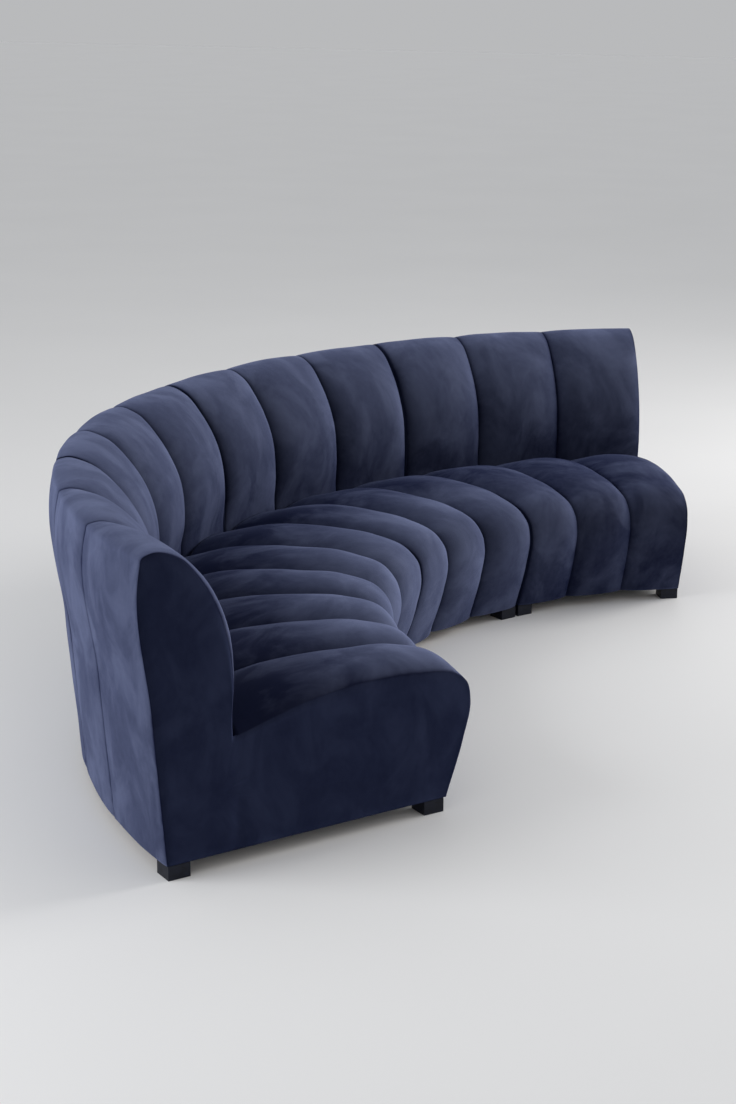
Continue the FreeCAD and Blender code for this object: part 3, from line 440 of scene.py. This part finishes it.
def wood_group():
    """Wood: long grain drawn out along one axis, broken by slow waves, with fine pores. Gives the
    colour between two tones and a height."""
    group, start, end = socketed_group(
        "wood_grain",
        [("Vector", "NodeSocketVector", None), ("Dark", "NodeSocketColor", (0.2, 0.12, 0.06, 1)),
         ("Pale", "NodeSocketColor", (0.6, 0.42, 0.25, 1)), ("Spread", "NodeSocketFloat", 40.0)],
        [("Color", "NodeSocketColor"), ("Height", "NodeSocketFloat")])
    drawn = add(group, "ShaderNodeMapping", {"Vector": start.outputs["Vector"],
                                             "Scale": (0.08, 1, 1)})
    figure = add(group, "ShaderNodeTexNoise", {
        "Vector": drawn.outputs[0], "Scale": start.outputs["Spread"], "Detail": 6.0,
        "Roughness": 0.6, "Distortion": 1.2})
    pores = add(group, "ShaderNodeTexNoise", {
        "Vector": drawn.outputs[0], "Scale": 700.0, "Detail": 2.0, "Roughness": 0.6})
    mixed = add(group, "ShaderNodeMath", {0: pores.outputs["Fac"], 1: 0.35,
                                          2: figure.outputs["Fac"]}, operation="MULTIPLY_ADD")
    tone = add(group, "ShaderNodeMapRange", {"Value": mixed.outputs[0], "From Min": 0.45,
                                             "From Max": 0.90})
    colour = add(group, "ShaderNodeMix", {"Factor": tone.outputs[0]}, data_type="RGBA")
    group.links.new(start.outputs["Dark"], colour.inputs[6])
    group.links.new(start.outputs["Pale"], colour.inputs[7])
    group.links.new(colour.outputs[2], end.inputs["Color"])
    group.links.new(mixed.outputs[0], end.inputs["Height"])
    return group


WOOD = wood_group()


def wood(name, dark, pale, spread, roughness, bump_strength):
    """Wood whose grain follows the object's length."""
    material, tree, shader = new_material(name)
    where = add(tree, "ShaderNodeTexCoord")
    grain = add(tree, "ShaderNodeGroup", node_tree=WOOD)
    tree.links.new(where.outputs["Object"], grain.inputs["Vector"])
    grain.inputs["Dark"].default_value = (*dark, 1)
    grain.inputs["Pale"].default_value = (*pale, 1)
    grain.inputs["Spread"].default_value = spread
    bump = add(tree, "ShaderNodeBump", {"Height": grain.outputs["Height"], "Distance": 0.0005,
                                        "Strength": bump_strength})
    rough = add(tree, "ShaderNodeMapRange", {
        "Value": grain.outputs["Height"], "From Min": 0.4, "From Max": 0.9,
        "To Min": roughness + 0.08, "To Max": roughness - 0.05})
    tree.links.new(grain.outputs["Color"], shader.inputs["Base Color"])
    tree.links.new(rough.outputs[0], shader.inputs["Roughness"])
    tree.links.new(bump.outputs[0], shader.inputs["Normal"])
    return material, shader


FOOT_WOOD, foot_shader = wood("stained_foot_wood", (0.0015, 0.0022, 0.0060), (0.006, 0.008, 0.019),
                              60.0, 0.45, 0.25)
foot_shader.inputs["Specular IOR Level"].default_value = 0.22
FOOT_EASE = 0.0018

for section in SECTIONS:
    work = bmesh.new()
    work.from_mesh(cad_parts[f"section_{section}_feet"].data)
    bmesh.ops.remove_doubles(work, verts=work.verts, dist=0.00002)
    bmesh.ops.dissolve_limit(work, angle_limit=math.radians(2), verts=work.verts, edges=work.edges)
    mesh = bpy.data.meshes.new(f"section_{section}_foot_blocks")
    work.to_mesh(mesh)
    work.free()
    blocks = bpy.data.objects.new(mesh.name, mesh)
    bpy.context.scene.collection.objects.link(blocks)
    mesh.materials.clear()
    mesh.materials.append(FOOT_WOOD)
    eased = blocks.modifiers.new("eased_edges", "BEVEL")
    eased.width = FOOT_EASE
    eased.segments = 3
    eased.limit_method = "ANGLE"
    eased.angle_limit = math.radians(40)
    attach(blocks, f"section_{section}")
    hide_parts(f"section_{section}_feet")


# Timber rails
# Curved softwood boards: one behind the front cover, one along the foot of the back, one under the
# crease and one along the top of the back. They are glued and stapled into the plywood frames.

def dress(names, material):
    """Gives every section's nodes of these names one material."""
    for section in SECTIONS:
        for name in names:
            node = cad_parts[f"section_{section}_{name}"]
            node.data.materials.clear()
            node.data.materials.append(material)


PINE, _ = wood("rail_pine", (0.42, 0.25, 0.12), (0.68, 0.48, 0.28), 22.0, 0.62, 0.4)
dress(("front_rail", "rear_rail", "seat_rail", "top_rail"), PINE)


# Plywood frames
# Each section stands on four upright frames cut from 18 mm plywood, seat rib and back post in one.
# They show birch all over, faces and edges alike.

BIRCH, _ = wood("birch_plywood", (0.50, 0.34, 0.19), (0.74, 0.57, 0.38), 14.0, 0.6, 0.3)
dress(("frames",), BIRCH)


# Seat foam
# A firm block of upholstery foam lies on the seat's straps, under the channels. Cut foam shows open
# cells and yellows a little.

def foam():
    """Cut foam: small open cells from a Voronoi pattern over a slow change of tone."""
    material, tree, shader = new_material("seat_foam")
    where = add(tree, "ShaderNodeTexCoord")
    cells = add(tree, "ShaderNodeTexVoronoi", {"Vector": where.outputs["Object"], "Scale": 700.0})
    slow = add(tree, "ShaderNodeTexNoise", {"Vector": where.outputs["Object"], "Scale": 5.0})
    colour = add(tree, "ShaderNodeMix", {"Factor": slow.outputs["Fac"]}, data_type="RGBA")
    colour.inputs[6].default_value = (0.62, 0.52, 0.30, 1)
    colour.inputs[7].default_value = (0.74, 0.67, 0.46, 1)
    bump = add(tree, "ShaderNodeBump", {"Height": cells.outputs["Distance"], "Strength": 0.6,
                                        "Distance": 0.001})
    tree.links.new(colour.outputs[2], shader.inputs["Base Color"])
    tree.links.new(bump.outputs[0], shader.inputs["Normal"])
    shader.inputs["Roughness"].default_value = 0.95
    return material


dress(("seat_foam",), foam())


# Under cover and webbing
# Black non-woven dust cloth closes the underside, and elastic straps carry the seat and the back.
# Both are flat cloth, one pressed from fibres and one woven.

def flat_cloth(name, dark, pale, scale, strength):
    """Flat cloth from two crossed wave patterns with a fibrous unevenness over them."""
    material, tree, shader = new_material(name)
    where = add(tree, "ShaderNodeTexCoord")
    along = add(tree, "ShaderNodeTexWave", {"Vector": where.outputs["Object"], "Scale": scale,
                                            "Distortion": 0.6, "Detail": 1.0})
    over = add(tree, "ShaderNodeTexWave", {"Vector": where.outputs["Object"], "Scale": scale,
                                           "Distortion": 0.6, "Detail": 1.0}, bands_direction="Y")
    fibres = add(tree, "ShaderNodeTexNoise", {"Vector": where.outputs["Object"], "Scale": 260.0,
                                              "Detail": 4.0, "Roughness": 0.7})
    woven = add(tree, "ShaderNodeMath", {0: along.outputs["Fac"], 1: over.outputs["Fac"]},
                operation="MULTIPLY")
    mixed = add(tree, "ShaderNodeMath", {0: fibres.outputs["Fac"], 1: 0.8, 2: woven.outputs[0]},
                operation="MULTIPLY_ADD")
    tone = add(tree, "ShaderNodeMapRange", {"Value": mixed.outputs[0], "From Min": 0.3,
                                            "From Max": 1.3})
    colour = add(tree, "ShaderNodeMix", {"Factor": tone.outputs[0]}, data_type="RGBA")
    colour.inputs[6].default_value = (*dark, 1)
    colour.inputs[7].default_value = (*pale, 1)
    bump = add(tree, "ShaderNodeBump", {"Height": mixed.outputs[0], "Strength": strength,
                                        "Distance": 0.0006})
    tree.links.new(colour.outputs[2], shader.inputs["Base Color"])
    tree.links.new(bump.outputs[0], shader.inputs["Normal"])
    shader.inputs["Roughness"].default_value = 0.9
    return material


dress(("under_cover",), flat_cloth("dust_cloth", (0.008, 0.008, 0.009), (0.028, 0.028, 0.031),
                                   90.0, 0.5))
dress(("seat_webbing", "back_webbing"),
      flat_cloth("strap_webbing", (0.03, 0.03, 0.032), (0.16, 0.15, 0.13), 160.0, 0.8))


# Steel connectors and screws
# Plates with pins and eyes under the frames join the sections, and screws hold them and the feet.
# All are zinc plated and slightly dulled.

def zinc():
    """Zinc plating: a bluish grey metal with cloudy dull patches."""
    material, tree, shader = new_material("zinc_plate")
    where = add(tree, "ShaderNodeTexCoord")
    clouds = add(tree, "ShaderNodeTexNoise", {"Vector": where.outputs["Object"], "Scale": 90.0,
                                              "Detail": 5.0, "Roughness": 0.6})
    colour = add(tree, "ShaderNodeMix", {"Factor": clouds.outputs["Fac"]}, data_type="RGBA")
    colour.inputs[6].default_value = (0.42, 0.43, 0.45, 1)
    colour.inputs[7].default_value = (0.66, 0.68, 0.70, 1)
    rough = add(tree, "ShaderNodeMapRange", {"Value": clouds.outputs["Fac"], "To Min": 0.28,
                                             "To Max": 0.52})
    bump = add(tree, "ShaderNodeBump", {"Height": clouds.outputs["Fac"], "Strength": 0.15,
                                        "Distance": 0.0003})
    tree.links.new(colour.outputs[2], shader.inputs["Base Color"])
    tree.links.new(rough.outputs[0], shader.inputs["Roughness"])
    tree.links.new(bump.outputs[0], shader.inputs["Normal"])
    shader.inputs["Metallic"].default_value = 1.0
    return material


dress(("connectors", "screws"), zinc())


# Studio
# A plain pale floor that runs out to an even background, under soft light from the sides.

FLOOR_REACH = 60.0


def pale_floor():
    """A wide square floor."""
    mesh = bpy.data.meshes.new("floor")
    mesh.from_pydata([(-FLOOR_REACH, -FLOOR_REACH, 0), (FLOOR_REACH, -FLOOR_REACH, 0),
                      (FLOOR_REACH, FLOOR_REACH, 0), (-FLOOR_REACH, FLOOR_REACH, 0)],
                     [], [(0, 1, 2, 3)])
    floor = bpy.data.objects.new("floor", mesh)
    bpy.context.scene.collection.objects.link(floor)
    material, tree, shader = new_material("pale_floor")
    where = add(tree, "ShaderNodeTexCoord")
    clouds = add(tree, "ShaderNodeTexNoise", {"Vector": where.outputs["Object"], "Scale": 0.8})
    colour = add(tree, "ShaderNodeMix", {"Factor": clouds.outputs["Fac"]}, data_type="RGBA")
    colour.inputs[6].default_value = (0.80, 0.80, 0.80, 1)
    colour.inputs[7].default_value = (0.84, 0.84, 0.84, 1)
    tree.links.new(colour.outputs[2], shader.inputs["Base Color"])
    shader.inputs["Roughness"].default_value = 0.6
    mesh.materials.append(material)


pale_floor()

world =bpy.data.worlds.new("studio")
bpy.context.scene.world = world
world.use_nodes = True
sky = world.node_tree
heading = add(sky, "ShaderNodeTexCoord")
split = add(sky, "ShaderNodeSeparateXYZ", {0: heading.outputs["Generated"]})
level = add(sky, "ShaderNodeMapRange", {"Value": split.outputs["Z"], "From Min": 0.1,
                                        "From Max": 0.9, "To Min": 0.85, "To Max": 0.45})
ray = add(sky, "ShaderNodeLightPath")
seen = add(sky, "ShaderNodeMix", {"Factor": ray.outputs["Is Camera Ray"]})
sky.links.new(level.outputs[0], seen.inputs[2])
seen.inputs[3].default_value = 0.50
sky.nodes["Background"].inputs["Color"].default_value = (0.97, 0.98, 1.0, 1)
sky.links.new(seen.outputs[0], sky.nodes["Background"].inputs["Strength"])


def softbox(name, place, target, width, power, colour):
    """A square area lamp that points at a target."""
    data = bpy.data.lights.new(name, "AREA")
    data.size = width
    data.energy = power
    data.color = colour
    lamp = bpy.data.objects.new(name, data)
    lamp.location = place
    lamp.rotation_euler = (Vector(target) - Vector(place)).to_track_quat("-Z", "Y").to_euler()
    bpy.context.scene.collection.objects.link(lamp)


softbox("key", (4.5, -4.5, 3.0), (0, 0, 0.4), 3.0, 260, (1.0, 0.98, 0.96))
softbox("rear", (-4.5, 3.5, 3.2), (-0.8, 0, 0.5), 3.0, 160, (0.97, 0.98, 1.0))


# Camera
# It stands beyond the sofa's -X end, a little above head height, as the photograph was taken.

CAMERA_PLACE = Vector((-5.989, -1.283 + ARC_CENTRE_Y, 2.206))
CAMERA_YAW = math.radians(65.37)
CAMERA_PITCH = math.radians(15.58)
CAMERA_ROLL = math.radians(0.46)
FOCAL_PIXELS = 2038.2
PICTURE_HEIGHT = 1104
SENSOR = 36.0

ahead = Vector((math.sin(CAMERA_YAW) * math.cos(CAMERA_PITCH),
                math.cos(CAMERA_YAW) * math.cos(CAMERA_PITCH), -math.sin(CAMERA_PITCH)))
sideways = Vector((math.cos(CAMERA_YAW), -math.sin(CAMERA_YAW), 0))
upright = sideways.cross(ahead)
right = math.cos(CAMERA_ROLL) * sideways + math.sin(CAMERA_ROLL) * upright
up = -math.sin(CAMERA_ROLL) * sideways + math.cos(CAMERA_ROLL) * upright
camera_data = bpy.data.cameras.new("camera")
camera_data.sensor_width = SENSOR
camera_data.lens = FOCAL_PIXELS * SENSOR / PICTURE_HEIGHT
camera = bpy.data.objects.new("camera", camera_data)
camera_turn = Matrix((right, up, -ahead)).transposed().to_4x4()
camera.matrix_world = Matrix.Translation(CAMERA_PLACE) @ camera_turn
bpy.context.scene.collection.objects.link(camera)
bpy.context.scene.camera = camera
bpy.context.scene.view_settings.view_transform = "Standard"
